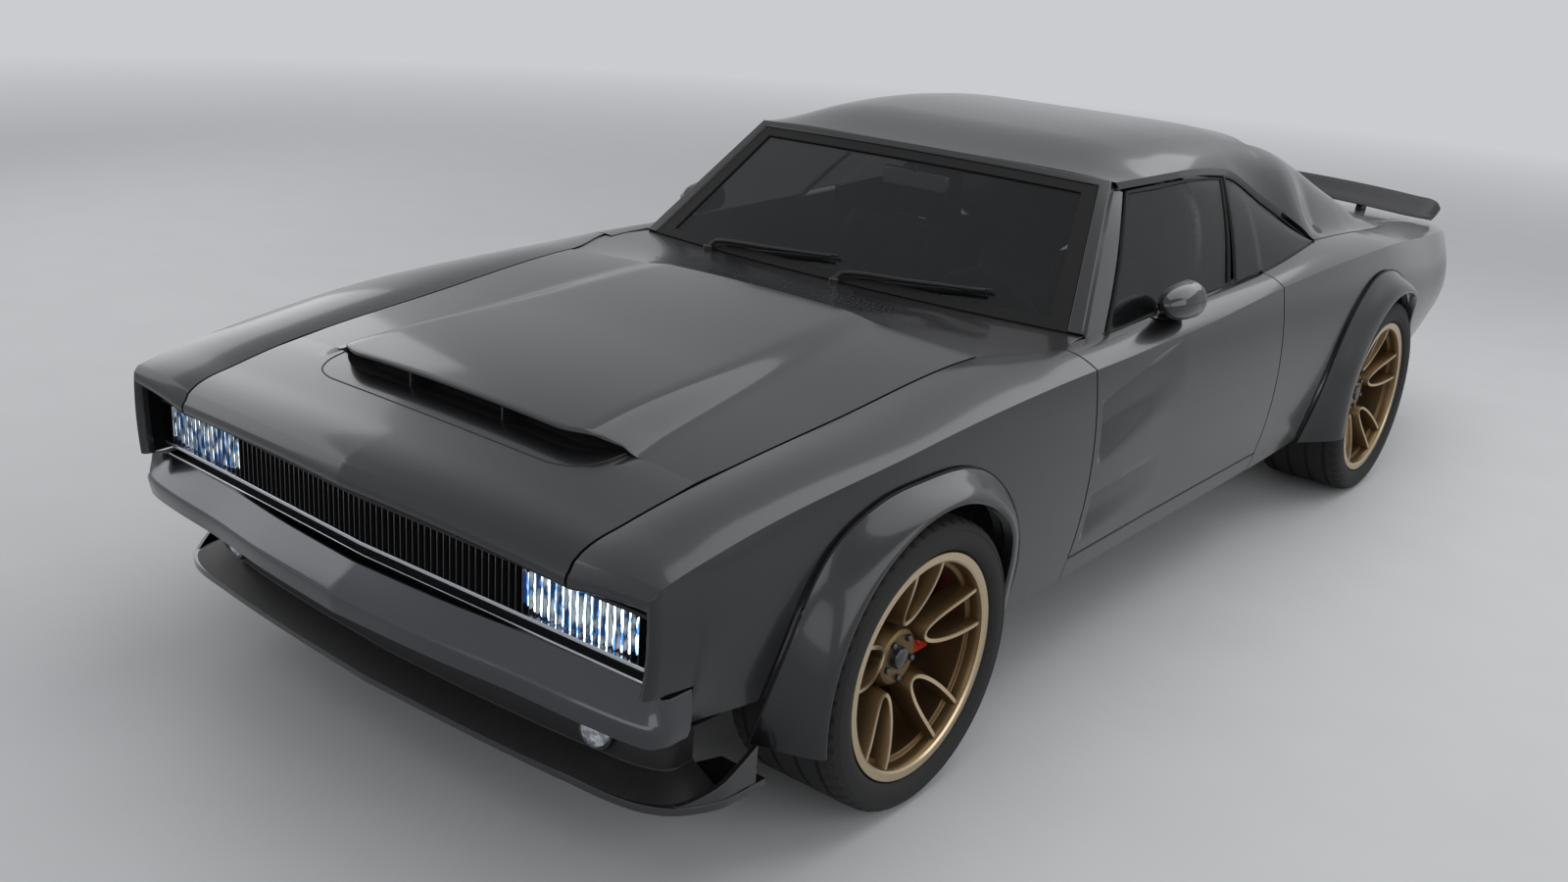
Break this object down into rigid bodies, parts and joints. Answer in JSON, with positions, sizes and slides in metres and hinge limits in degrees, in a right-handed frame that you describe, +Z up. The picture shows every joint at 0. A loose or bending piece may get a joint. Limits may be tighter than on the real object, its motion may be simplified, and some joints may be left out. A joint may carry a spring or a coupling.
{
  "type": "muscle car",
  "caption": "Low wide-body two-door fastback muscle car with flared arches, scooped bonnet, full-width grille, opening doors and lids, steered and rolling wheels.",
  "frame": {"origin": "on the ground, under the middle of the car", "axes": "+Z up, -Y towards the front of the car, +X towards its left side"},
  "size_m": [2.074, 5.186, 1.35],
  "materials": {
    "body_paint": "satin metallic charcoal",
    "underbody": "satin black",
    "cast_steel": "cast",
    "bright_tube": "brushed",
    "black_trim": "matte",
    "bumper_metal": "gloss",
    "lamp_lens": "clear, lit",
    "red_lens": "clear red",
    "tinted_glass": "tinted",
    "cabin_trim": "soft black",
    "mirror_shell": "gloss black",
    "bronze_alloy": "satin bronze",
    "tyre_rubber": "matte"
  },
  "bodies": {
    "body": {"platform": "underbody", "chassis_frame": "underbody", "front_subframe": "cast_steel", "engine": "cast_steel", "propshaft": "cast_steel", "exhaust": "bright_tube", "fuel_tank": "underbody", "rear_axle": "cast_steel", "rear_springs": "underbody", "inner_rails": "underbody", "fender_left": "body_paint", "fender_right": "body_paint", "quarter_left": "body_paint", "quarter_right": "body_paint", "sills": "body_paint", "front_flares": "body_paint", "rear_flares": "body_paint", "windshield_frame": "body_paint", "roof": "body_paint", "c_pillar_left": "body_paint", "c_pillar_right": "body_paint", "cowl": "body_paint", "deck_filler": "body_paint", "wipers": "black_trim", "grille": "black_trim", "headlamps": "lamp_lens", "front_bumper": "bumper_metal", "front_valance": "black_trim", "fog_lamps": "lamp_lens", "splitter": "black_trim", "tail_panel": "black_trim", "tail_lamps": "red_lens", "rear_bumper": "bumper_metal", "rear_valance": "black_trim", "windshield": "tinted_glass", "rear_window": "tinted_glass", "quarter_glass": "tinted_glass", "dashboard": "cabin_trim", "steering_wheel": "cabin_trim", "front_seats": "cabin_trim", "roll_cage": "bright_tube"},
    "hood": {"hood": "body_paint"},
    "trunk": {"trunk_lid": "body_paint", "spoiler": "black_trim"},
    "door_l": {"door_left": "body_paint", "door_glass_left": "tinted_glass", "mirror_left": "mirror_shell"},
    "door_r": {"door_right": "body_paint", "door_glass_right": "tinted_glass", "mirror_right": "mirror_shell"},
    "upright_l": {"knuckle_left": "cast_steel"},
    "upright_r": {"knuckle_right": "cast_steel"},
    "front_wheel_l": {"wheel_fl": "bronze_alloy", "tyre_fl": "tyre_rubber"},
    "front_wheel_r": {"wheel_fr": "bronze_alloy", "tyre_fr": "tyre_rubber"},
    "rear_wheel_l": {"wheel_rl": "bronze_alloy", "tyre_rl": "tyre_rubber"},
    "rear_wheel_r": {"wheel_rr": "bronze_alloy", "tyre_rr": "tyre_rubber"}
  },
  "joints": [
    {"name": "hood_lift", "type": "hinge", "parent": "body", "child": "hood", "pos_m": [0, -1.199, 0.943], "axis": [-1, 0, 0], "range_deg": [0, 55]},
    {"name": "trunk_lift", "type": "hinge", "parent": "body", "child": "trunk", "pos_m": [0, 1.47, 0.9435], "axis": [1, 0, 0], "range_deg": [0, 60]},
    {"name": "door_l_swing", "type": "hinge", "parent": "body", "child": "door_l", "pos_m": [0.966, -0.957, 0.6], "axis": [0, 0, -1], "range_deg": [0, 65]},
    {"name": "door_r_swing", "type": "hinge", "parent": "body", "child": "door_r", "pos_m": [-0.966, -0.957, 0.6], "axis": [0, 0, 1], "range_deg": [0, 65]},
    {"name": "steer_l", "type": "hinge", "parent": "body", "child": "upright_l", "pos_m": [0.77, -1.75, 0.345], "axis": [0, 0, 1], "range_deg": [-30, 30]},
    {"name": "steer_r", "type": "hinge", "parent": "body", "child": "upright_r", "pos_m": [-0.77, -1.75, 0.345], "axis": [0, 0, 1], "range_deg": [-30, 30]},
    {"name": "front_wheel_l_spin", "type": "hinge", "parent": "upright_l", "child": "front_wheel_l", "pos_m": [0.866, -1.75, 0.345], "axis": [1, 0, 0], "continuous": true},
    {"name": "front_wheel_r_spin", "type": "hinge", "parent": "upright_r", "child": "front_wheel_r", "pos_m": [-0.866, -1.75, 0.345], "axis": [1, 0, 0], "continuous": true},
    {"name": "rear_wheel_l_spin", "type": "hinge", "parent": "body", "child": "rear_wheel_l", "pos_m": [0.85, 1.273, 0.361], "axis": [1, 0, 0], "continuous": true},
    {"name": "rear_wheel_r_spin", "type": "hinge", "parent": "body", "child": "rear_wheel_r", "pos_m": [-0.85, 1.273, 0.361], "axis": [1, 0, 0], "continuous": true}
  ],
  "couplings": [
    {"joint": "steer_r", "follows": "steer_l", "ratio": 1}
  ]
}
